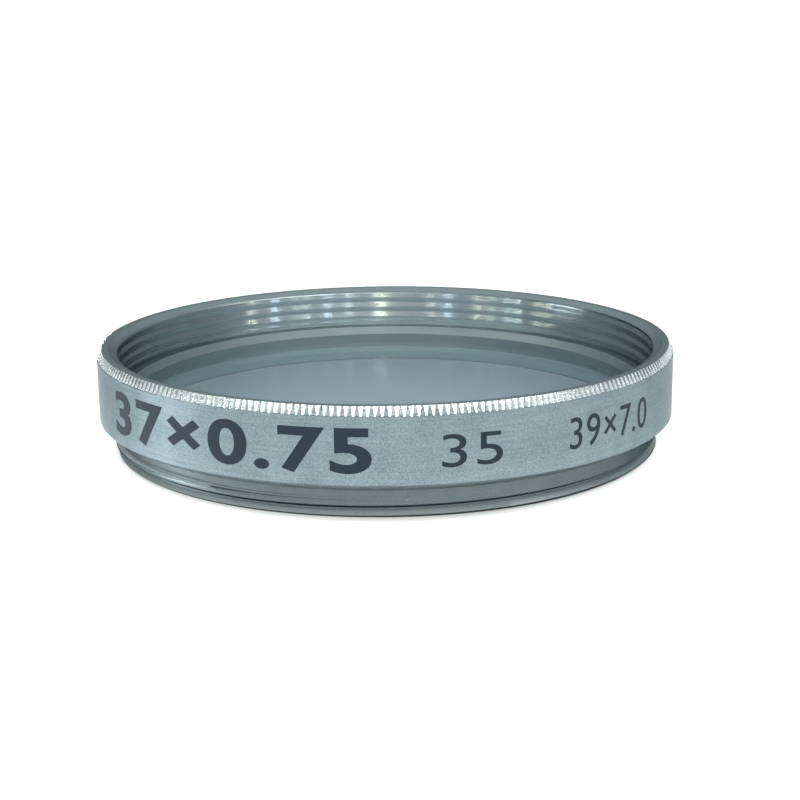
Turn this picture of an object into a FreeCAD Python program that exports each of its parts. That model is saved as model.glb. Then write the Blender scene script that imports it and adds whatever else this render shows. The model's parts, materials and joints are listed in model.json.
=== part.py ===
"""Ultraviolet lens filter: a turned aluminium frame, a flat round glass and the ring that holds it.

All sizes are in millimetres. The filter lies with its male thread down. +Z is the optical
axis and points away from the lens. The origin is the centre of the spigot's end face.
"""

import math
import os

import FreeCAD
import Part

V = FreeCAD.Vector
CENTRE = V(0, 0, 0)
AXIS = V(0, 0, 1)

# Filter thread M37 x 0.75, the same on the male spigot and in the female mouth
THREAD_D = 37.0
THREAD_PITCH = 0.75
# Standard thread form: how far each root lies inside the nominal diameter, in pitches
SPIGOT_ROOT_SHARE = 1.2269
MOUTH_MINOR_SHARE = 1.0825

# Spigot, the male end that screws into the lens
SPIGOT_H = 2.2
SPIGOT_LEAD_H = 0.2
SPIGOT_LEAD_W = 0.25
SPIGOT_RELIEF_H = 0.5
SPIGOT_WALL = 0.49

# Band, the plain outside of the frame above its flange
FLANGE_W = 1.0
BAND_H = 4.25
BAND_EDGE = 0.1

# Straight knurl down the bevel at the top of the band, one step in from the band.
# Its V-shaped grooves are wide and deep at the foot and nearly run out at the lip.
KNURL_H = 0.55
KNURL_STEP = 0.02
KNURL_LEAN = 0.28
KNURL_TEETH = 288
GROOVE_W = 0.34
GROOVE_DEPTH = 0.2
GROOVE_LIP_DEPTH = 0.08

# Mouth, the female end that takes a second filter, a hood or a cap
LIP_W = 0.5
MOUTH_LEAD_H = 0.35
MOUTH_RELIEF_H = 0.3
MOUTH_RELIEF_DEPTH = 0.45

# Seat that carries the glass, and the clear aperture inside it
SEAT_H = 0.9
SEAT_W = 0.6
APERTURE_EDGE = 0.1

# Glass, ground flat on both sides
GLASS_T = 2.0
GLASS_BEVEL = 0.15
GLASS_GAP = 0.05

# Retaining ring, which goes in through the mouth and presses the glass on its seat
RING_H = 1.2
RING_LAP = 0.4
RING_BEVEL_W = 0.45
RING_BEVEL_H = 0.5
RING_FOOT = 0.1
RING_PASS = 0.25
RING_GAP = 0.01
RING_SEAT_DROP = 0.3

# Length by which the knurling tool runs past the metal that it cuts
OVERRUN = 0.2

# Radii, from the thread outwards and inwards
thread_r = THREAD_D / 2
root_r = thread_r - SPIGOT_ROOT_SHARE * THREAD_PITCH / 2
mouth_r = thread_r - MOUTH_MINOR_SHARE * THREAD_PITCH / 2
band_r = thread_r + FLANGE_W
knurl_r = band_r - KNURL_STEP
lip_out_r = knurl_r - KNURL_LEAN
lip_in_r = lip_out_r - LIP_W
pocket_r = root_r - SPIGOT_WALL
glass_r = pocket_r - GLASS_GAP
aperture_r = pocket_r - SEAT_W
ring_bore_r = mouth_r - RING_PASS
ring_out_r = ring_bore_r - RING_GAP
ring_in_r = glass_r - RING_LAP

# Heights, from the spigot's end face up
relief_z = SPIGOT_H - SPIGOT_RELIEF_H
knurl_z = SPIGOT_H + BAND_H
top_z = knurl_z + KNURL_H
glass_top_z = SEAT_H + GLASS_T
ring_top_z = glass_top_z + RING_H
ring_seat_z = glass_top_z - RING_SEAT_DROP
mouth_end_z = ring_top_z + MOUTH_RELIEF_H
mouth_lead_z = top_z - MOUTH_LEAD_H


def turned(outline):
    """The solid that a closed outline of (radius, height) points sweeps round the axis."""
    points = [V(radius, 0, height) for radius, height in outline]
    wire = Part.makePolygon(points + points[:1])
    return Part.Face(wire).revolve(CENTRE, AXIS, 360)


def frame_blank():
    """The frame as it leaves the lathe, before it is knurled."""
    outside = [
        (thread_r - SPIGOT_LEAD_W, 0),
        (thread_r, SPIGOT_LEAD_H),
        (thread_r, relief_z),
        (root_r, relief_z),
        (root_r, SPIGOT_H),
        (band_r - BAND_EDGE, SPIGOT_H),
        (band_r, SPIGOT_H + BAND_EDGE),
        (band_r, top_z),
    ]
    inside = [
        (lip_in_r, top_z),
        (mouth_r, mouth_lead_z),
        (mouth_r, mouth_end_z),
        (mouth_r + MOUTH_RELIEF_DEPTH, mouth_end_z),
        (mouth_r + MOUTH_RELIEF_DEPTH, ring_top_z),
        (ring_bore_r, ring_top_z),
        (ring_bore_r, ring_seat_z),
        (pocket_r, ring_seat_z),
        (pocket_r, SEAT_H),
        (aperture_r, SEAT_H),
        (aperture_r, APERTURE_EDGE),
        (aperture_r + APERTURE_EDGE, 0),
    ]
    return turned(outside + inside)


def toothed_outline(height):
    """Corners of the knurled bevel's star-shaped section at a height.

    Every flank keeps one slope at all heights, so lands and flanks are plane faces.
    """
    share = (height - knurl_z) / KNURL_H
    land_r = knurl_r - share * KNURL_LEAN
    groove_r = land_r - GROOVE_DEPTH + share * (GROOVE_DEPTH - GROOVE_LIP_DEPTH)
    slope = GROOVE_W / 2 / GROOVE_DEPTH
    half_pitch = math.pi / KNURL_TEETH
    across = math.cos(half_pitch) + slope * math.sin(half_pitch)
    rise = (land_r - groove_r * math.cos(half_pitch)) / across
    corners = []
    for tooth in range(KNURL_TEETH):
        outwards = V(math.cos(2 * tooth * half_pitch), math.sin(2 * tooth * half_pitch), 0)
        sideways = AXIS.cross(outwards)
        for side in (-1, 0, 1):
            radius = groove_r + abs(side) * rise
            offset = side * rise * slope
            corners.append(outwards * radius + sideways * offset + AXIS * height)
    return corners


def flat_face(corners):
    """Plane face with those corners."""
    return Part.Face(Part.makePolygon(corners + corners[:1]))


def toothed_cone():
    """Solid cone with a V-shaped groove between each two lands, all of them plane faces."""
    low = toothed_outline(knurl_z)
    high = toothed_outline(top_z + OVERRUN)
    faces = [flat_face(low), flat_face(high)]
    for here in range(len(low)):
        after = (here + 1) % len(low)
        faces.append(flat_face([low[here], low[after], high[after], high[here]]))
    return Part.Solid(Part.Shell(faces))


def knurled(blank):
    """The blank with everything outside the toothed cone taken off above the band."""
    collar = Part.makeCylinder(band_r + OVERRUN, KNURL_H + OVERRUN, V(0, 0, knurl_z), AXIS)
    return blank.cut(collar.cut(toothed_cone()))


def glass():
    """Flat disc with a small ground bevel round both faces."""
    face_r = glass_r - GLASS_BEVEL
    return turned(
        [
            (0, SEAT_H),
            (face_r, SEAT_H),
            (glass_r, SEAT_H + GLASS_BEVEL),
            (glass_r, glass_top_z - GLASS_BEVEL),
            (face_r, glass_top_z),
            (0, glass_top_z),
        ]
    )


def retaining_ring():
    """Thin turned ring that stands on the glass, bevelled down towards the aperture."""
    return turned(
        [
            (ring_in_r, glass_top_z),
            (ring_out_r - RING_FOOT, glass_top_z),
            (ring_out_r, glass_top_z + RING_FOOT),
            (ring_out_r, ring_top_z),
            (ring_in_r + RING_BEVEL_W, ring_top_z),
            (ring_in_r, ring_top_z - RING_BEVEL_H),
        ]
    )


nodes = {
    "filter_frame": knurled(frame_blank()),
    "uv_glass": glass(),
    "retaining_ring": retaining_ring(),
}
os.makedirs("parts", exist_ok=True)
for name, solid in nodes.items():
    solid.exportStep("parts/" + name + ".step")
    print(name, "valid" if solid.isValid() else "not valid", round(solid.Volume, 3), "mm3")
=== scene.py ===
"""Dresses an ultraviolet lens filter: a turned and knurled aluminium ring with its two fine
threads, the glass, the ring that holds the glass down, and the sizes printed round the band.

The filter lies on its male thread. +Z is its optical axis, and the photograph's front is -Y.
"""

import json
import math

import bmesh
import bpy
from mathutils import Matrix, Vector


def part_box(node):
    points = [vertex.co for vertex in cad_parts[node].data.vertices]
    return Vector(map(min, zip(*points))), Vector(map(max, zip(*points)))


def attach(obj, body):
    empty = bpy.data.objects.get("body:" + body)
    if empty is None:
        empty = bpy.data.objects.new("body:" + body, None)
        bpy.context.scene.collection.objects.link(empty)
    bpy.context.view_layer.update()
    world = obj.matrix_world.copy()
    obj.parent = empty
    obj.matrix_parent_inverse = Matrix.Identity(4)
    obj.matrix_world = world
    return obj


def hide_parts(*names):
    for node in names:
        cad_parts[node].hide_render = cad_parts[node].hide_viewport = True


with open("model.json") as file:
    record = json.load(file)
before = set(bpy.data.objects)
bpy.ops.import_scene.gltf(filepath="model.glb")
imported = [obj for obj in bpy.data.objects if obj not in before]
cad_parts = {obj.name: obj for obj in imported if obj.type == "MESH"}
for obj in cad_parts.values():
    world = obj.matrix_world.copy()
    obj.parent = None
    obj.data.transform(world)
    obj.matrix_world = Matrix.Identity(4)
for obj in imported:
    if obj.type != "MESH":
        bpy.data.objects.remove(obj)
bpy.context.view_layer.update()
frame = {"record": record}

# Filter frame. One ring turned from aluminium bar, with a male thread that screws into the lens
# and a female thread in its mouth for the next filter. A straight knurl is rolled round the bevel
# at the top for the fingers, and the whole ring is satin anodised in natural silver.
MM = 0.001
THREAD_PITCH = 0.75 * MM
FLANK_SLOPE = math.tan(math.radians(30))
EDGE = 0.018 * MM

mounts = {mount["name"]: mount for mount in frame["record"]["mounts"]}
_, frame_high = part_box("filter_frame")
glass_low, glass_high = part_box("uv_glass")
ring_low, ring_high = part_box("retaining_ring")

band_r = frame_high.x
top_z = frame_high.z
thread_r = mounts["lens_thread"]["dims"]["r_mm"] * MM
mouth_r = mounts["front_thread"]["dims"]["r_mm"] * MM

SPIGOT_H = 2.2 * MM
SPIGOT_LEAD_H = 0.2 * MM
SPIGOT_LEAD_W = 0.25 * MM
SPIGOT_RELIEF_H = 0.5 * MM
SPIGOT_THREAD_DEPTH = 0.46 * MM
SPIGOT_ROOT_FLAT = 0.125 * MM
BAND_EDGE = 0.1 * MM
KNURL_H = 0.55 * MM
KNURL_STEP = 0.02 * MM
KNURL_LEAN = 0.28 * MM
KNURL_TEETH = 288
GROOVE_W = 0.34 * MM
GROOVE_DEPTH = 0.2 * MM
GROOVE_LIP_DEPTH = 0.08 * MM
LIP_W = 0.5 * MM
MOUTH_LEAD_H = 0.35 * MM
MOUTH_THREAD_DEPTH = 0.21 * MM
MOUTH_RELIEF_H = 0.3 * MM
MOUTH_RELIEF_DEPTH = 0.45 * MM
RING_GAP = 0.01 * MM
RING_SEAT_DROP = 0.3 * MM
GLASS_GAP = 0.05 * MM
APERTURE_W = 0.6 * MM
APERTURE_EDGE = 0.1 * MM

# Where each thread's groove passes the front of the ring, and where the male one runs out,
# as an angle from the front, counted on past the first turn.
SPIGOT_GROOVE_Z = 0.455 * MM
MOUTH_GROOVE_Z = 4.44 * MM
RUN_OUT_STARTS = math.radians(250)
RUN_OUT_ENDS = math.radians(366)

relief_z = SPIGOT_H - SPIGOT_RELIEF_H
root_r = thread_r - SPIGOT_THREAD_DEPTH
knurl_z = top_z - KNURL_H
knurl_r = band_r - KNURL_STEP
lip_in_r = knurl_r - KNURL_LEAN - LIP_W
mouth_lead_z = top_z - MOUTH_LEAD_H
mouth_end_z = ring_high.z + MOUTH_RELIEF_H
relief_r = mouth_r + MOUTH_RELIEF_DEPTH
ring_bore_r = ring_high.x + RING_GAP
pocket_r = glass_high.x + GLASS_GAP
aperture_r = pocket_r - APERTURE_W
ring_seat_z = glass_high.z - RING_SEAT_DROP

COLUMNS = 576
ROWS_PER_TURN = 7
MOUTH_ROWS_PER_TURN = 16
MOUTH_TURNS = 6
PER_TOOTH = 4
RIM_COLUMNS = KNURL_TEETH * PER_TOOTH


def at(radius, angle, height):
    """Point of the ring at an angle counted from the front, towards +X."""
    return (radius * math.sin(angle), -radius * math.cos(angle), height)


def thread_turns(angle, first, last, groove_z, root_flat, depth_at):
    """(depth below the crest, height) points up the thread turns at one angle, low to high."""
    points = []
    for turn in range(first, last + 1):
        along = angle + turn * 2 * math.pi
        middle = groove_z + THREAD_PITCH * along / (2 * math.pi)
        depth = depth_at(along)
        edge = min(EDGE, depth / 5)
        half = root_flat / 2
        mouth = half + depth * FLANK_SLOPE
        points += [
            (0, middle - mouth - edge),
            (edge, middle - mouth + edge * FLANK_SLOPE),
            (depth, middle - half),
            (depth, middle + half),
            (edge, middle + mouth - edge * FLANK_SLOPE),
            (0, middle + mouth + edge),
            (0, middle + THREAD_PITCH / 2),
        ]
    return points


def held_between(points, low, high):
    """The (radius, height) points, with those past either end height drawn in to that end."""
    held = []
    for number, (radius, height) in enumerate(points):
        if height < low or height > high:
            end = low if height < low else high
            step = 1 if height < low else -1
            other = number + step
            while 0 <= other < len(points) and (points[other][1] - end) * step < 0:
                other += step
            radius_at_end = points[-1 if step > 0 else 0][0]
            if 0 <= other < len(points):
                r0, z0 = points[other - step]
                r1, z1 = points[other]
                radius_at_end = r0 + (r1 - r0) * (end - z0) / (z1 - z0)
            held.append((radius_at_end, end))
        else:
            held.append((radius, height))
    return held


def cut_by_cone(points, cone_r, outside):
    """The points with what stands out of a cone (or into it, from inside) turned away."""
    sign = 1 if outside else -1
    over = [sign * (radius - cone_r(height)) for radius, height in points]
    cut = [
        (cone_r(height), height) if extra > 0 else (radius, height)
        for (radius, height), extra in zip(points, over)
    ]
    for number in range(len(points) - 1):
        a, b = over[number], over[number + 1]
        if a * b < 0:
            share = a / (a - b)
            r0, z0 = points[number]
            r1, z1 = points[number + 1]
            crossing = (r0 + (r1 - r0) * share, z0 + (z1 - z0) * share)
            cut[number if a > 0 else number + 1] = crossing
    return cut


def spigot_depth(along):
    """Depth of the male thread's groove, which the tool leaves gradually at the end of its cut."""
    share = (along - RUN_OUT_STARTS) / (RUN_OUT_ENDS - RUN_OUT_STARTS)
    share = min(max(share, 0), 1)
    return SPIGOT_THREAD_DEPTH * (1 - share * share * (3 - 2 * share))


def spigot_lead(height):
    """Radius of the small lead-in cone at the spigot's end."""
    return thread_r - SPIGOT_LEAD_W * (1 - height / SPIGOT_LEAD_H)


def mouth_lead(height):
    """Radius of the lead-in cone at the mouth."""
    return mouth_r + (lip_in_r - mouth_r) * (height - mouth_lead_z) / MOUTH_LEAD_H


def spigot_thread(angle):
    """The male thread's outline at one angle, from the end face up to the relief."""
    turns = thread_turns(angle, -1, 2, SPIGOT_GROOVE_Z, SPIGOT_ROOT_FLAT, spigot_depth)
    points = [(thread_r - depth, height) for depth, height in turns]
    return cut_by_cone(held_between(points, 0, relief_z), spigot_lead, True)


def mouth_thread(angle):
    """The female thread's outline at one angle, from the lip down to the relief.

    A tap has rubbed its crests and roots round.
    """
    points = []
    for row in range(MOUTH_TURNS * MOUTH_ROWS_PER_TURN + 1):
        turns = row / MOUTH_ROWS_PER_TURN
        depth = MOUTH_THREAD_DEPTH * (0.5 + 0.5 * math.cos(2 * math.pi * turns))
        height = MOUTH_GROOVE_Z + THREAD_PITCH * (turns + angle / (2 * math.pi) - 1.5)
        points.append((mouth_r + depth, height))
    held = held_between(points, mouth_end_z, top_z)
    return cut_by_cone(held, mouth_lead, False)[::-1]


def frame_outline(angle):
    """Outline of the ring's section at one angle, as rows of (radius, height), and where the
    rows of each thread lie, with the shift that joins them to themselves at the back."""
    rows = [(lip_in_r + EDGE, top_z), (lip_in_r, top_z - EDGE)]
    threads = []
    mouth = mouth_thread(angle)
    threads.append((len(rows), len(rows) + len(mouth), -MOUTH_ROWS_PER_TURN))
    rows += mouth
    rows += [
        (relief_r, mouth_end_z),
        (relief_r, ring_high.z),
        (ring_bore_r + EDGE, ring_high.z),
        (ring_bore_r, ring_high.z - EDGE),
        (ring_bore_r, ring_seat_z),
        (pocket_r, ring_seat_z),
        (pocket_r, glass_low.z),
        (aperture_r, glass_low.z),
        (aperture_r, APERTURE_EDGE),
        (aperture_r + APERTURE_EDGE, 0),
        (thread_r - SPIGOT_LEAD_W - EDGE, 0),
    ]
    spigot = spigot_thread(angle)
    threads.append((len(rows), len(rows) + len(spigot), ROWS_PER_TURN))
    rows += spigot
    rows += [(root_r, relief_z), (root_r, SPIGOT_H)]
    return rows, threads


def knurl_row(share):
    """One edge of the knurl round the rim, at a share of the bevel's height."""
    land_r = knurl_r - share * KNURL_LEAN
    groove_r = land_r - GROOVE_DEPTH + share * (GROOVE_DEPTH - GROOVE_LIP_DEPTH)
    slope = GROOVE_W / 2 / GROOVE_DEPTH
    half_pitch = math.pi / KNURL_TEETH
    across = math.cos(half_pitch) + slope * math.sin(half_pitch)
    rise = (land_r - groove_r * math.cos(half_pitch)) / across
    corner_angle = math.atan2(rise * slope, groove_r + rise)
    corner_r = math.hypot(rise * slope, groove_r + rise)
    row = []
    for tooth in range(KNURL_TEETH):
        groove = -math.pi + 2 * tooth * half_pitch
        row += [
            (groove_r, groove),
            (corner_r, groove + corner_angle),
            (land_r, groove + half_pitch),
            (corner_r, groove + 2 * half_pitch - corner_angle),
        ]
    return row


def plain_row(radius):
    """One plain edge round the rim, with as many points as the knurl has."""
    return [(radius, -math.pi + 2 * math.pi * n / RIM_COLUMNS) for n in range(RIM_COLUMNS)]


WELD = 0.0002 * MM
SHARP_EDGE = math.radians(35)


def mesh_piece(name, points, faces, face_materials=None):
    """A named mesh object of those points and faces, cleaned and shaded smooth between edges."""
    data = bpy.data.meshes.new(name)
    data.from_pydata(points, [], faces)
    if face_materials:
        data.polygons.foreach_set("material_index", face_materials)
    shape = bmesh.new()
    shape.from_mesh(data)
    bmesh.ops.remove_doubles(shape, verts=shape.verts, dist=WELD)
    bmesh.ops.recalc_face_normals(shape, faces=shape.faces)
    for face in shape.faces:
        face.smooth = True
    shape.to_mesh(data)
    shape.free()
    data.set_sharp_from_angle(angle=SHARP_EDGE)
    piece = bpy.data.objects.new(name, data)
    bpy.context.scene.collection.objects.link(piece)
    weighted = piece.modifiers.new("weighted_normals", "WEIGHTED_NORMAL")
    weighted.keep_sharp = True
    return piece


SATIN, BRIGHT, BORE, SPIGOT, RELIEF, PAINTED_LIGHT_METAL, PAINTED_SHADE_METAL, MOUTH_FLANK_PAINTED_LIGHT, MATT = range(9)

# Which faces have a finish of their own: up one turn of the male thread, with painted light on its
# up-facing flank and painted shade on its down-facing one, up one turn of the female thread, with
# painted light on its down-facing flanks, and down from the end of the female thread.
SPIGOT_FLANK_PAINTS = {1: PAINTED_LIGHT_METAL, 3: PAINTED_SHADE_METAL}
MOUTH_FACES_WITH_PAINTED_LIGHT = range(1, 7)
RELIEF_FACES = range(-1, 2)
SEAT_FACES = range(6, 9)
THREAD_SHOWS = 0.3
FLANKS_END_BELOW_LEAD = 0.15 * MM


def row_behind(row):
    """The row that this one meets where the last column joins the first."""
    for first, end, shift in threads:
        if first <= row < end:
            return min(max(row + shift, first - 1), end)
    return row


def spigot_finish(up, angle):
    """Finish of one face of the male thread, counted from its foot.

    The up-facing lower flank gets painted light and the down-facing upper flank painted shade,
    where the groove is cut deep enough to show.
    """
    turn, part = divmod(up, ROWS_PER_TURN)
    depth = spigot_depth(angle + (turn - 1) * 2 * math.pi)
    if depth < THREAD_SHOWS * SPIGOT_THREAD_DEPTH:
        return SPIGOT
    return SPIGOT_FLANK_PAINTS.get(part, SPIGOT)


def outline_finish(row, height, angle):
    """Finish of the face that starts at one row of the outline, at that height and angle."""
    (_, mouth_end, _), (spigot_start, spigot_end, _) = threads
    below_mouth = row - mouth_end
    if spigot_start - 1 <= row < spigot_end - 1:
        return spigot_finish(row - spigot_start, angle)
    if below_mouth in SEAT_FACES:
        return MATT
    # The ledge and relief under the flange get painted light.
    if row >= spigot_end - 1:
        return PAINTED_LIGHT_METAL
    if height > mouth_lead_z + EDGE or below_mouth in RELIEF_FACES:
        return RELIEF
    # The female thread's down-facing flanks get painted light that lifts their shade.
    on_mouth_thread = below_mouth < -1 and height < mouth_lead_z - FLANKS_END_BELOW_LEAD
    up_the_turn = (-2 - below_mouth) % MOUTH_ROWS_PER_TURN
    return MOUTH_FLANK_PAINTED_LIGHT if on_mouth_thread and up_the_turn in MOUTH_FACES_WITH_PAINTED_LIGHT else BORE


# The inside, the end face and both threads: one outline per column, joined to the next.
column_angles = [-math.pi + 2 * math.pi * column / COLUMNS for column in range(COLUMNS)]
points, faces, finishes, columns = [], [], [], []
for angle in column_angles:
    outline, threads = frame_outline(angle)
    columns.append(len(points))
    points += [at(radius, angle, height) for radius, height in outline]
row_count = len(outline)
for column, angle in enumerate(column_angles):
    here = columns[column]
    there = columns[(column + 1) % COLUMNS]
    seam = column == COLUMNS - 1
    for row in range(row_count - 1):
        low, high = (row_behind(row), row_behind(row + 1)) if seam else (row, row + 1)
        faces.append([here + row, there + low, there + high, here + row + 1])
        finishes.append(outline_finish(row, points[here + row][2], angle))

# The rim: flange, band, knurl and lip, from the spigot's root round to the edge of the mouth.
rim_rows = [
    (plain_row(band_r - BAND_EDGE), SPIGOT_H, SATIN),
    (plain_row(band_r), SPIGOT_H + BAND_EDGE, SATIN),
    (plain_row(band_r), knurl_z - EDGE, SATIN),
    (plain_row(band_r - EDGE), knurl_z, SATIN),
    (knurl_row(0), knurl_z, BRIGHT),
    (knurl_row(1), top_z, SATIN),
]
first_rim = len(points)
for row, height, finish in rim_rows:
    points += [at(radius, angle, height) for radius, angle in row]
for number, (row, height, finish) in enumerate(rim_rows[:-1]):
    base = first_rim + number * RIM_COLUMNS
    for column in range(RIM_COLUMNS):
        after = (column + 1) % RIM_COLUMNS
        faces.append(
            [base + column, base + after, base + RIM_COLUMNS + after, base + RIM_COLUMNS + column]
        )
        finishes.append(finish)
last_rim = first_rim + (len(rim_rows) - 1) * RIM_COLUMNS
# Flat faces join the outline to the rim: the flange's underside, with painted light, and the top
# of the lip.
for column in range(COLUMNS):
    after = (column + 1) % COLUMNS
    for rim, row, finish in ((first_rim, row_count - 1, PAINTED_LIGHT_METAL), (last_rim, 0, RELIEF)):
        edge = [rim + (2 * column + step) % RIM_COLUMNS for step in range(3)]
        faces.append([columns[column] + row] + edge + [columns[after] + row])
        finishes.append(finish)

turned_frame = mesh_piece("turned_frame", points, faces, finishes)


class Nodes:
    """The node tree of a material or of the world, with short ways to add and join nodes."""

    def __init__(self, owner):
        owner.use_nodes = True
        self.owner = owner
        self.tree = owner.node_tree
        self.shader = self.tree.nodes.get("Principled BSDF")
        self.output = self.tree.nodes.get("Material Output")

    def add(self, kind, inputs=(), **settings):
        """A new node with those settings; each input is (socket, a value or another output)."""
        node = self.tree.nodes.new("ShaderNode" + kind)
        for setting, value in settings.items():
            setattr(node, setting, value)
        for socket, value in inputs:
            self.put(node, socket, value)
        return node

    def put(self, node, socket, value):
        """Sets one socket to a value, or joins it to another node's output."""
        if isinstance(value, bpy.types.NodeSocket):
            self.tree.links.new(value, node.inputs[socket])
        else:
            node.inputs[socket].default_value = value

    def math(self, operation, first, *others):
        """The result of one sum on a value or output, carried through the others in turn."""
        for other in others or (0.0,):
            node = self.add("Math", ((0, first), (1, other)), operation=operation)
            first = node.outputs[0]
        return first

    def vector(self, operation, *vectors):
        """The result of one sum on vectors, which for a length or a dot product is a number."""
        node = self.add("VectorMath", enumerate(vectors), operation=operation)
        return node.outputs["Value" if operation in ("LENGTH", "DOT_PRODUCT") else "Vector"]

    def spread(self, value, low, high, to_low, to_high):
        """A value's range stretched on to another range, and held there."""
        ends = (1, low), (2, high), (3, to_low), (4, to_high)
        return self.add("MapRange", ((0, value), *ends)).outputs[0]

    def blend(self, share, first, second):
        """A colour between two colours."""
        colours = (6, first), (7, second)
        return self.add("Mix", ((0, share), *colours), data_type="RGBA").outputs[2]


def turning_lines(nodes, spacing, drift):
    """Noise that runs in fine lines round the ring, as the tool leaves them on a turned face.

    The lines drift in strength as they go round, a few times to the turn.
    """
    place = nodes.add("TexCoord").outputs["Object"]
    split = nodes.add("SeparateXYZ", ((0, place),))
    x, y, z = (split.outputs[axis] for axis in "XYZ")
    squares = nodes.math("ADD", nodes.math("MULTIPLY", x, x), nodes.math("MULTIPLY", y, y))
    radius = nodes.math("SQRT", squares)
    vector = nodes.add(
        "CombineXYZ",
        (
            (0, nodes.math("MULTIPLY", nodes.math("DIVIDE", x, radius), drift)),
            (1, nodes.math("MULTIPLY", nodes.math("DIVIDE", y, radius), drift)),
            (2, nodes.math("MULTIPLY", z, 1 / spacing)),
        ),
    ).outputs[0]
    lines = nodes.add(
        "TexNoise",
        (
            ("Vector", vector),
            ("W", nodes.math("MULTIPLY", radius, 1 / spacing)),
            ("Scale", 1.0),
            ("Detail", 3.0),
            ("Roughness", 0.6),
        ),
        noise_dimensions="4D",
    )
    return lines.outputs["Fac"]


def grain(nodes, size, detail=3.0):
    """Noise in spots of about one size."""
    place = nodes.add("TexCoord").outputs["Object"]
    spots = nodes.add("TexNoise", (("Vector", place), ("Scale", 1 / size), ("Detail", detail)))
    return spots.outputs["Fac"]


# Steps this fine up the ring give every line a draw of its own.
LINES_PER_METRE = 1.0e7


def tilted(nodes, normal, tangent, tilt):
    """The normal tipped across the turning lines, by a random share for each finest line."""
    place = nodes.add("TexCoord").outputs["Object"]
    height = nodes.add("SeparateXYZ", ((0, place),)).outputs["Z"]
    line = nodes.math("MULTIPLY", height, LINES_PER_METRE)
    chance = nodes.add("TexWhiteNoise", (("W", line),), noise_dimensions="1D").outputs["Color"]
    share = nodes.vector("DOT_PRODUCT", chance, (tilt, -tilt, 0))
    across = nodes.vector("CROSS_PRODUCT", normal, tangent)
    tip = nodes.add("VectorMath", ((0, across), ("Scale", share)), operation="SCALE").outputs[0]
    return nodes.vector("NORMALIZE", nodes.vector("ADD", normal, tip))


FINE_GRAIN = 0.09 * MM
CLOUDS = 1.6 * MM
LINE_DRIFT = 4.0
CLOUD_SHARE, GRAIN_SHARE, LINE_SHARE = 0.2, 0.55, 0.25
LINE_HEIGHT = 0.0012 * MM
SOFT_LINE_HEIGHT = 0.001 * MM
GRAIN_HEIGHT = 0.0006 * MM
ROUGHNESS_SPAN = 0.03
TONE_EDGES = (0.36, 0.64)
LINE_EDGES = (0.3, 0.7)


def turned_metal(
    name,
    dull,
    clean,
    rim,
    roughness,
    streak,
    spacing,
    line_height=LINE_HEIGHT,
    grain_height=GRAIN_HEIGHT,
    tilt=0,
):
    """Anodised aluminium with turning lines, in a colour that wanders between two tones."""
    nodes = Nodes(bpy.data.materials.new(name))
    lines = turning_lines(nodes, spacing, LINE_DRIFT)
    fine = grain(nodes, FINE_GRAIN)
    cloud = grain(nodes, CLOUDS, 4.0)
    tone = nodes.math(
        "ADD",
        nodes.math("MULTIPLY", cloud, CLOUD_SHARE),
        nodes.math("MULTIPLY", fine, GRAIN_SHARE),
        nodes.math("MULTIPLY", lines, LINE_SHARE),
    )
    colour = nodes.blend(nodes.spread(tone, *TONE_EDGES, 0, 1), (*dull, 1), (*clean, 1))
    smooth, rough = roughness - ROUGHNESS_SPAN, roughness + ROUGHNESS_SPAN
    tangent = nodes.add("Tangent", direction_type="RADIAL", axis="Z").outputs[0]
    pits = nodes.add("Bump", (("Strength", 1.0), ("Distance", grain_height), ("Height", fine)))
    ridges = nodes.add(
        "Bump",
        (
            ("Strength", 1.0),
            ("Distance", line_height),
            ("Height", lines),
            ("Normal", pits.outputs[0]),
        ),
    )
    normal = ridges.outputs[0]
    if tilt:
        normal = tilted(nodes, normal, tangent, tilt)
    for socket, value in (
        ("Base Color", colour),
        ("Roughness", nodes.spread(lines, *LINE_EDGES, smooth, rough)),
        ("Metallic", 1.0),
        ("Anisotropic", streak),
        ("Anisotropic Rotation", 0.25),
        ("Specular Tint", (*rim, 1)),
        ("Tangent", tangent),
        ("Normal", normal),
    ):
        nodes.put(nodes.shader, socket, value)
    return nodes.owner


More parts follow.
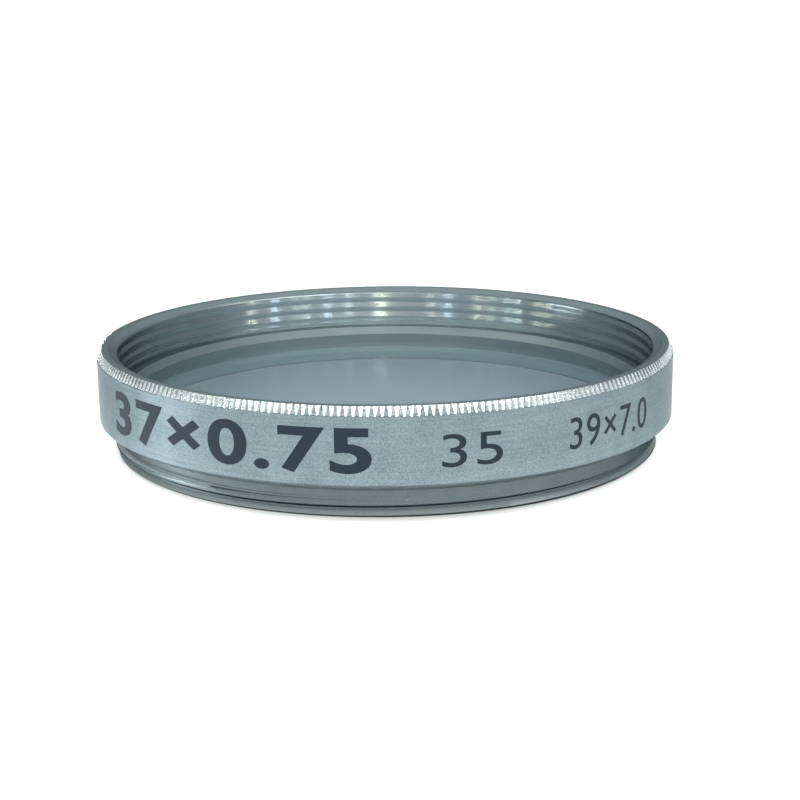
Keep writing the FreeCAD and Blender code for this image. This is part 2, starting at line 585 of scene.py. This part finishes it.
# One for each finish of the frame, in the order of their numbers. The matt seat comes after them.
frame_metals = [
    turned_metal(
        "satin_aluminium",
        dull=(0.160, 0.207, 0.235),
        clean=(0.312, 0.385, 0.420),
        rim=(0.58, 0.61, 0.63),
        roughness=0.30,
        streak=0.3,
        spacing=0.09 * MM,
        grain_height=0.0012 * MM,
    ),
    turned_metal(
        "bright_knurl",
        dull=(0.34, 0.39, 0.41),
        clean=(0.92, 0.97, 0.98),
        rim=(1, 1, 1),
        roughness=0.20,
        streak=0.0,
        spacing=0.12 * MM,
        line_height=SOFT_LINE_HEIGHT,
        grain_height=0.018 * MM,
    ),
    turned_metal(
        "turned_bore",
        dull=(0.27, 0.325, 0.345),
        clean=(0.34, 0.40, 0.42),
        rim=(0.8, 0.8, 0.8),
        roughness=0.21,
        streak=1.0,
        spacing=0.06 * MM,
        line_height=SOFT_LINE_HEIGHT,
        tilt=0.55,
    ),
    # Darker than the band: partly duller anodising in the thread, partly painted shade for the
    # shaded floor that the thread mirrors.
    turned_metal(
        "turned_spigot",
        dull=(0.113, 0.139, 0.146),
        clean=(0.157, 0.188, 0.197),
        rim=(0.25, 0.26, 0.26),
        roughness=0.40,
        streak=0.4,
        spacing=0.06 * MM,
    ),
    turned_metal(
        "turned_relief",
        dull=(0.36, 0.43, 0.445),
        clean=(0.50, 0.58, 0.595),
        rim=(0.6, 0.6, 0.6),
        roughness=0.36,
        streak=0.3,
        spacing=0.05 * MM,
    ),
    # A lighter copy of the aluminium: painted light on the male thread's up-facing flanks, on the
    # ledge and relief under the flange and on the flange's underside.
    turned_metal(
        "aluminium_painted_light",
        dull=(0.41, 0.465, 0.475),
        clean=(0.51, 0.565, 0.575),
        rim=(1, 1, 1),
        roughness=0.55,
        streak=0.5,
        spacing=0.06 * MM,
    ),
    # A near-black copy of the aluminium: painted shade on the male thread's down-facing flanks.
    turned_metal(
        "thread_groove_painted_shade",
        dull=(0.055, 0.070, 0.075),
        clean=(0.080, 0.098, 0.104),
        rim=(0.35, 0.35, 0.35),
        roughness=0.36,
        streak=0.3,
        spacing=0.05 * MM,
    ),
    # A lighter copy of the bore: painted light on the female thread's down-facing flanks.
    turned_metal(
        "mouth_flank_painted_light",
        dull=(0.62, 0.70, 0.72),
        clean=(0.76, 0.83, 0.85),
        rim=(0.9, 0.9, 0.9),
        roughness=0.24,
        streak=1.0,
        spacing=0.06 * MM,
        line_height=SOFT_LINE_HEIGHT,
        tilt=0.55,
    ),
]
seat_nodes = Nodes(bpy.data.materials.new("matt_seat"))
seat_nodes.put(seat_nodes.shader, "Base Color", (0.80, 0.82, 0.82, 1))
seat_nodes.put(seat_nodes.shader, "Roughness", 0.7)
for metal in frame_metals + [seat_nodes.owner]:
    turned_frame.data.materials.append(metal)
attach(turned_frame, "root")
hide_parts("filter_frame")


# Glass. A flat disc of clear ultraviolet-absorbing glass, ground and polished on both sides, with
# a small matt bevel round each edge. It lies on the frame's seat.
GLASS_BEVEL = 0.15 * MM
GLASS_COLUMNS = 288
GLASS_CENTRE_SHARE = 0.5
GLASS_INDEX = 1.52

glass_r = glass_high.x
glass_outline = [
    (glass_r * GLASS_CENTRE_SHARE, glass_low.z),
    (glass_r - GLASS_BEVEL, glass_low.z),
    (glass_r, glass_low.z + GLASS_BEVEL),
    (glass_r, glass_high.z - GLASS_BEVEL),
    (glass_r - GLASS_BEVEL, glass_high.z),
    (glass_r * GLASS_CENTRE_SHARE, glass_high.z),
]


def lathe(name, outline, column_count, closed, finishes=None):
    """A piece turned from an outline of (radius, height), closed round or capped by flat faces."""
    points = []
    for column in range(column_count):
        angle = 2 * math.pi * column / column_count
        points += [at(radius, angle, height) for radius, height in outline]
    count = len(outline)
    faces = []
    for column in range(column_count):
        here = column * count
        there = (column + 1) % column_count * count
        for row in range(count if closed else count - 1):
            after = (row + 1) % count
            faces.append([here + row, there + row, there + after, here + after])
    if not closed:
        for row in (0, count - 1):
            faces.append([column * count + row for column in range(column_count)])
    if finishes:
        finishes = finishes * column_count + [0, 0]
    return mesh_piece(name, points, faces, finishes)


POLISHED, GROUND = 0, 1
glass_finishes = [POLISHED, GROUND, GROUND, GROUND, POLISHED]
filter_glass = lathe("filter_glass", glass_outline, GLASS_COLUMNS, False, glass_finishes)

# The flatter the glass is seen, the darker it looks. Its coating holds the reflection back to a
# small share, apart from the flattest views.
STEEP_TINT = (0.87, 0.94, 0.985, 1)
FLAT_TINT = (0.425, 0.485, 0.52, 1)
REFLECTION_TINT = (0.93, 0.97, 1.0, 1)
SHADOW_TINT = (0.80, 0.86, 0.88, 1)
COATED_SHARE = 0.12
REFLECTION_BLUR = 0.09
TINT_EDGES = (0.3, 0.75)
SHINE_EDGES = (0.761, 0.783)

glass_nodes = Nodes(bpy.data.materials.new("coated_glass"))
glass_nodes.tree.nodes.remove(glass_nodes.shader)
facing = glass_nodes.add("LayerWeight", (("Blend", 0.5),)).outputs["Facing"]
flatness = glass_nodes.spread(facing, *TINT_EDGES, 0, 1)
tint = glass_nodes.blend(flatness, STEEP_TINT, FLAT_TINT)
clear = glass_nodes.add("BsdfRefraction", (("Color", tint), ("IOR", GLASS_INDEX)))
mirror = glass_nodes.add(
    "BsdfGlossy", (("Color", REFLECTION_TINT), ("Roughness", REFLECTION_BLUR))
)
shine = glass_nodes.math(
    "MULTIPLY",
    glass_nodes.add("Fresnel", (("IOR", GLASS_INDEX),)).outputs[0],
    glass_nodes.spread(facing, *SHINE_EDGES, COATED_SHARE, 1.0),
)
body = glass_nodes.add("MixShader", ((0, shine), (1, clear.outputs[0]), (2, mirror.outputs[0])))
glass_path = glass_nodes.add("LightPath").outputs
through = glass_nodes.add("BsdfTransparent", (("Color", SHADOW_TINT),))
shadow = glass_nodes.math("MAXIMUM", glass_path["Is Shadow Ray"], glass_path["Is Diffuse Ray"])
glass_look = glass_nodes.add(
    "MixShader", ((0, shadow), (1, body.outputs[0]), (2, through.outputs[0]))
)
glass_nodes.put(glass_nodes.output, "Surface", glass_look.outputs[0])
filter_glass.data.materials.append(glass_nodes.owner)

ground_nodes = Nodes(bpy.data.materials.new("ground_edge"))
ground_nodes.put(ground_nodes.shader, "Base Color", (0.33, 0.40, 0.42, 1))
ground_nodes.put(ground_nodes.shader, "Roughness", 0.8)
filter_glass.data.materials.append(ground_nodes.owner)
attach(filter_glass, "root")
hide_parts("uv_glass")


# Retaining ring. A thin turned aluminium ring that goes in through the mouth and holds the glass
# on its seat. Its upper inner edge is bevelled down towards the glass.
RING_BEVEL_W = 0.45 * MM
RING_BEVEL_H = 0.5 * MM
RING_FOOT = 0.1 * MM
RING_LAP = 0.4 * MM

ring_r = ring_high.x
ring_in_r = glass_r - RING_LAP
ring_outline = [
    (ring_in_r, ring_low.z),
    (ring_r - RING_FOOT, ring_low.z),
    (ring_r, ring_low.z + RING_FOOT),
    (ring_r, ring_high.z - EDGE),
    (ring_r - EDGE, ring_high.z),
    (ring_in_r + RING_BEVEL_W, ring_high.z),
    (ring_in_r, ring_high.z - RING_BEVEL_H),
]
glass_ring = lathe("glass_ring", ring_outline, COLUMNS, True)
ring_metal = turned_metal(
    "turned_ring",
    dull=(0.27, 0.33, 0.352),
    clean=(0.33, 0.40, 0.422),
    rim=(0.8, 0.8, 0.8),
    roughness=0.38,
    streak=0.3,
    spacing=0.05 * MM,
)
glass_ring.data.materials.append(ring_metal)
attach(glass_ring, "root")
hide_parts("retaining_ring")


# Printed sizes. Slate-grey screen ink, about a hundredth of a millimetre thick, laid round the
# front of the band: the thread's size in bold, then the glass's and the ring's in a thin hand.
INK_PROUD = 0.011 * MM
INK_SUNK = 0.002 * MM
INK_STEP = 0.35 * MM
INK_WELD = 0.0001
INK_CUT_REACH = 0.00001 * MM
INK_SHARP = math.radians(30)
FIGURE_STEPS = 6
DARK_INK = (0.007, 0.017, 0.031, 1)
PALE_INK = (0.013, 0.028, 0.047, 1)
INK_GRAIN = 0.12 * MM
INK_GRAIN_HEIGHT = 0.003 * MM
INK_ROUGHNESS = (0.5, 0.62)
# Name, figures, left and right edge in degrees from the front, foot and head height, extra
# weight of the strokes, and how far the figures stand apart
PRINTED_SIZES = (
    ("thread_size", "37×0.75", -61.5, -2.5, 2.97 * MM, 5.80 * MM, 0.028, 1.12),
    ("glass_size", "35", 9.5, 20.5, 3.27 * MM, 5.28 * MM, 0.0, 1.05),
    ("ring_size", "39×7.0", 34.3, 57.0, 3.36 * MM, 5.34 * MM, 0.0, 1.05),
)

ink_nodes = Nodes(bpy.data.materials.new("slate_ink"))
ink_tone = grain(ink_nodes, INK_GRAIN)
ink_colour = ink_nodes.blend(ink_nodes.spread(ink_tone, 0.35, 0.65, 0, 1), DARK_INK, PALE_INK)
ink_bump = ink_nodes.add(
    "Bump", (("Strength", 1.0), ("Distance", INK_GRAIN_HEIGHT), ("Height", ink_tone))
)
for socket, value in (
    ("Base Color", ink_colour),
    ("Roughness", ink_nodes.spread(ink_tone, 0.3, 0.7, *INK_ROUGHNESS)),
    ("Normal", ink_bump.outputs[0]),
    ("Specular IOR Level", 0.3),
):
    ink_nodes.put(ink_nodes.shader, socket, value)


def flat_figures(name, text, weight, spacing):
    """Mesh data of some figures, flat, and a shape of the same figures to work on."""
    curve = bpy.data.curves.new(name + "_flat", "FONT")
    curve.body = text
    curve.offset = weight
    curve.space_character = spacing
    curve.resolution_u = FIGURE_STEPS
    writing = bpy.data.objects.new(name + "_flat", curve)
    data = bpy.data.meshes.new_from_object(writing)
    bpy.data.objects.remove(writing)
    bpy.data.curves.remove(curve)
    shape = bmesh.new()
    shape.from_mesh(data)
    bmesh.ops.remove_doubles(shape, verts=shape.verts, dist=INK_WELD)
    return data, shape


def printed_mark(name, text, edges, heights, weight, spacing):
    """Figures printed on the band between two angles from the front and two heights."""
    data, shape = flat_figures(name, text, weight, spacing)
    across = [vertex.co.x for vertex in shape.verts]
    tall = [vertex.co.y for vertex in shape.verts]
    width = (edges[1] - edges[0]) * band_r
    across_scale = width / (max(across) - min(across))
    tall_scale = (heights[1] - heights[0]) / (max(tall) - min(tall))
    left, foot = min(across), min(tall)
    for vertex in shape.verts:
        vertex.co.x = (vertex.co.x - left) * across_scale
        vertex.co.y = (vertex.co.y - foot) * tall_scale
    cuts = int(width / INK_STEP)
    for cut in range(1, cuts):
        bmesh.ops.bisect_plane(
            shape,
            geom=shape.verts[:] + shape.edges[:] + shape.faces[:],
            plane_co=(width * cut / cuts, 0, 0),
            plane_no=(1, 0, 0),
            dist=INK_CUT_REACH,
        )
    raised = bmesh.ops.extrude_face_region(shape, geom=shape.faces[:])
    top = {item for item in raised["geom"] if isinstance(item, bmesh.types.BMVert)}
    for vertex in shape.verts:
        radius = band_r + (INK_PROUD if vertex in top else -INK_SUNK)
        angle = edges[0] + vertex.co.x / band_r
        vertex.co = at(radius, angle, heights[0] + vertex.co.y)
    bmesh.ops.recalc_face_normals(shape, faces=shape.faces)
    shape.to_mesh(data)
    shape.free()
    data.set_sharp_from_angle(angle=INK_SHARP)
    mark = bpy.data.objects.new(name, data)
    bpy.context.scene.collection.objects.link(mark)
    mark.data.materials.clear()
    mark.data.materials.append(ink_nodes.owner)
    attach(mark, "root")


for name, text, left, right, low_z, high_z, weight, spacing in PRINTED_SIZES:
    edges = math.radians(left), math.radians(right)
    printed_mark(name, text, edges, (low_z, high_z), weight, spacing)


# Studio. A white floor with painted shadow beside the ring, a painted band of light round it, a
# painted pool of light on its left and painted shade under the glass, a white backdrop, soft grey
# surroundings that are brighter in front, a soft lamp above the front, a low strip on the left,
# and a row of small lamps whose light stands in columns on the far wall of the mouth.
FLOOR_HALF = 6.0
FLOOR_DROP = 0.002 * MM
FLOOR_CORNERS = ((-1, -1), (1, -1), (1, 1), (-1, 1))
WHITE = (1, 1, 1, 1)
OPEN_FLOOR = (0.9, 0.9, 0.9, 1)
SHADED_FLOOR = (0.45, 0.45, 0.45, 1)

# Glow that the floor shows to the camera, beside, under, round and far from the ring. It sinks
# into a painted shadow beside the ring, and sooner to the left and right, where the ring looks
# wider. Round that shadow it is brighter, as a painted band of light, and a painted pool of light
# lies on the left. Under the glass the floor is darker, with painted shade that deepens towards
# the ring's edge.
RIM_GLOW = 0.66
FLOOR_GLOW = 0.31
FAR_GLOW = 0.24
UNDER_GLOW = 0.47
UNDER_EDGE_GLOW = 0.27
LEFT_PAINTED_LIGHT = 0.8
WIDER = (1.07, 1, 1)

floor_mesh = bpy.data.meshes.new("floor")
floor_points = [(x * FLOOR_HALF, y * FLOOR_HALF, -FLOOR_DROP) for x, y in FLOOR_CORNERS]
floor_mesh.from_pydata(floor_points, [], [[0, 1, 2, 3]])
floor = bpy.data.objects.new("floor", floor_mesh)
bpy.context.scene.collection.objects.link(floor)
floor_nodes = Nodes(bpy.data.materials.new("white_floor"))
floor_place = floor_nodes.add("TexCoord").outputs["Object"]
sideways = floor_nodes.add("SeparateXYZ", ((0, floor_place),)).outputs["X"]
away = floor_nodes.vector("LENGTH", floor_place)
wide_away = floor_nodes.vector("LENGTH", floor_nodes.vector("MULTIPLY", floor_place, WIDER))


def glow_from(distance, near, far, first, last):
    """A strength that goes from one value to another between two distances in millimetres."""
    return floor_nodes.spread(distance, near * MM, far * MM, first, last)


# Painted shade under the glass: a darker floor whose glow sinks towards the ring's edge.
under = glow_from(away, 17.2, 17.7, 1, 0)
floor_tone = floor_nodes.blend(under, OPEN_FLOOR, SHADED_FLOOR)
# Painted shadow right beside the ring, then a painted band of light that fades to the open floor's
# glow between 22 and 31 mm.
near_painted_shadow_and_light = floor_nodes.math(
    "ADD",
    glow_from(wide_away, 18.7, 20.2, 0, RIM_GLOW),
    glow_from(away, 22, 31, 0, FLOOR_GLOW - RIM_GLOW),
)
# A painted pool of light on the floor to the left of the ring.
left_painted_light = floor_nodes.math(
    "MULTIPLY",
    glow_from(sideways, -8, -19, 0, LEFT_PAINTED_LIGHT),
    glow_from(away, 21, 24.5, 1, 0),
    glow_from(away, 18.6, 19.2, 0, 1),
)
far_glow = glow_from(away, 60, 300, 0, FAR_GLOW)
under_glow = floor_nodes.math(
    "MULTIPLY", under, glow_from(away, 6, 16.8, UNDER_GLOW, UNDER_EDGE_GLOW)
)
glow = floor_nodes.math("ADD", near_painted_shadow_and_light, left_painted_light, far_glow, under_glow)
seen_by = floor_nodes.add("LightPath").outputs
seen = floor_nodes.math(
    "MAXIMUM",
    seen_by["Is Camera Ray"],
    seen_by["Is Glossy Ray"],
    seen_by["Is Transmission Ray"],
)
for socket, value in (
    ("Base Color", floor_tone),
    ("Roughness", 0.9),
    ("Specular IOR Level", 0.0),
    ("Emission Color", WHITE),
    ("Emission Strength", floor_nodes.math("MULTIPLY", seen, glow)),
):
    floor_nodes.put(floor_nodes.shader, socket, value)
floor.data.materials.append(floor_nodes.owner)

studio = Nodes(bpy.data.worlds.new("studio"))
bpy.context.scene.world = studio.owner
direction = studio.add("TexCoord").outputs["Generated"]
skyward = studio.add("SeparateXYZ", ((0, direction),)).outputs["Z"]
SKY_TONES = (
    (0.0, (0.13, 0.16, 0.175, 1)),
    (0.13, (0.15, 0.18, 0.195, 1)),
    (0.24, (0.36, 0.41, 0.435, 1)),
    (0.42, (0.38, 0.43, 0.455, 1)),
    (0.60, (0.43, 0.48, 0.50, 1)),
    (1.0, (0.50, 0.55, 0.57, 1)),
)
FRONT_TONES = (
    (0.0, (0.92, 0.98, 1.0, 1)),
    (0.50, (0.92, 0.97, 0.99, 1)),
    (0.60, (1.02, 1.05, 1.06, 1)),
    (0.80, (1.02, 1.05, 1.06, 1)),
    (1.0, (0.70, 0.75, 0.77, 1)),
)
FRONT_MIDDLE = (-0.2, 1, 0)
FRONT_EDGES = (-0.18, -0.55)


def sky_ramp(tones):
    """Colours of the surroundings from the horizon up to the zenith."""
    ramp = studio.add("ValToRGB", ((0, skyward),))
    while len(ramp.color_ramp.elements) < len(tones):
        ramp.color_ramp.elements.new(0.5)
    for element, (place, tone) in zip(ramp.color_ramp.elements, tones):
        element.position = place
        element.color = tone
    return ramp.outputs[0]


toward_front = studio.vector("DOT_PRODUCT", direction, FRONT_MIDDLE)
front = studio.spread(toward_front, *FRONT_EDGES, 0, 1)
around = studio.blend(front, sky_ramp(SKY_TONES), sky_ramp(FRONT_TONES))
sky_path = studio.add("LightPath").outputs
backdrop = studio.math("MAXIMUM", sky_path["Is Camera Ray"], sky_path["Is Transmission Ray"])
background = studio.tree.nodes["Background"]
studio.put(background, "Color", studio.blend(backdrop, around, WHITE))
studio.put(background, "Strength", 1.0)


def lamp(name, azimuth, elevation, distance, width, height, power, tint):
    """Area lamp aimed at the filter, at an azimuth from the front towards +X, in degrees."""
    light = bpy.data.lights.new(name, "AREA")
    light.shape = "ELLIPSE"
    light.size = width
    light.size_y = height
    light.energy = power
    light.color = tint
    holder = bpy.data.objects.new(name, light)
    around, up = math.radians(azimuth), math.radians(elevation)
    away = Vector(at(math.cos(up), around, math.sin(up)))
    target = Vector((0, 0, top_z / 2))
    holder.location = target + away * distance
    holder.rotation_euler = away.to_track_quat("Z", "Y").to_euler()
    bpy.context.scene.collection.objects.link(holder)


lamp(
    "key",
    azimuth=8,
    elevation=46,
    distance=0.9,
    width=0.7,
    height=0.35,
    power=0.6,
    tint=(1.0, 0.99, 0.97),
)
lamp(
    "left_strip",
    azimuth=-90,
    elevation=1.8,
    distance=0.6,
    width=0.24,
    height=0.036,
    power=1.25,
    tint=(0.95, 0.98, 1.0),
)

ROW_ELEVATION = 38
ROW_DISTANCE = 0.6
ROW_LAMP_WIDTH = 0.026
ROW_LAMP_HEIGHT = 0.05
ROW_POWER = 0.13
WARM, COOL, GREENISH = (1.0, 0.89, 0.74), (0.86, 0.92, 1.0), (0.93, 1.0, 0.84)
SMALL_LAMPS = (
    (73.8, 1.0, WARM),
    (59.9, 1.3, COOL),
    (47.9, 0.5, GREENISH),
    (42.0, 0.9, GREENISH),
    (30.6, 1.1, COOL),
    (19.4, 1.0, GREENISH),
    (-23.8, 1.0, WARM),
    (-32.5, 1.2, COOL),
    (-48.8, 1.2, WARM),
    (-57.0, 0.8, GREENISH),
    (-66.1, 1.0, COOL),
    (-72.5, 1.1, GREENISH),
    (-85.0, 0.8, WARM),
    (-92.0, 0.7, WARM),
)
for number, (azimuth, share, tint) in enumerate(SMALL_LAMPS):
    lamp(
        "small_%d" % number,
        azimuth,
        ROW_ELEVATION,
        ROW_DISTANCE,
        ROW_LAMP_WIDTH,
        ROW_LAMP_HEIGHT,
        ROW_POWER * share,
        tint,
    )
lamp(
    "column",
    azimuth=2.8,
    elevation=ROW_ELEVATION,
    distance=ROW_DISTANCE,
    width=0.055,
    height=ROW_LAMP_HEIGHT,
    power=0.36,
    tint=(1.0, 0.98, 0.72),
)

# Camera at the photograph's place: a long lens a little above the filter, looking down on it.
CAMERA_BACK = 0.1150278
CAMERA_UP = 0.0315261
CAMERA_PAN = 0.0084060
CAMERA_TILT = -0.2469591
CAMERA_ROLL = -0.0088381
CAMERA_LENS = 77.285
SENSOR = 36.0

ahead = Vector(
    (
        math.sin(CAMERA_PAN) * math.cos(CAMERA_TILT),
        math.cos(CAMERA_PAN) * math.cos(CAMERA_TILT),
        math.sin(CAMERA_TILT),
    )
)
level = Vector((math.cos(CAMERA_PAN), -math.sin(CAMERA_PAN), 0))
upright = level.cross(ahead)
right = level * math.cos(CAMERA_ROLL) + upright * math.sin(CAMERA_ROLL)
up = upright * math.cos(CAMERA_ROLL) - level * math.sin(CAMERA_ROLL)
lens = bpy.data.cameras.new("camera")
lens.lens = CAMERA_LENS
lens.sensor_width = SENSOR
lens.clip_start = 0.005
lens.clip_end = 50
camera = bpy.data.objects.new("camera", lens)
turn = Matrix((right, up, -ahead)).transposed().to_4x4()
camera.matrix_world = Matrix.Translation((0, -CAMERA_BACK, CAMERA_UP)) @ turn
bpy.context.scene.collection.objects.link(camera)
bpy.context.scene.camera = camera
bpy.context.scene.view_settings.view_transform = "Standard"

bpy.context.view_layer.update()
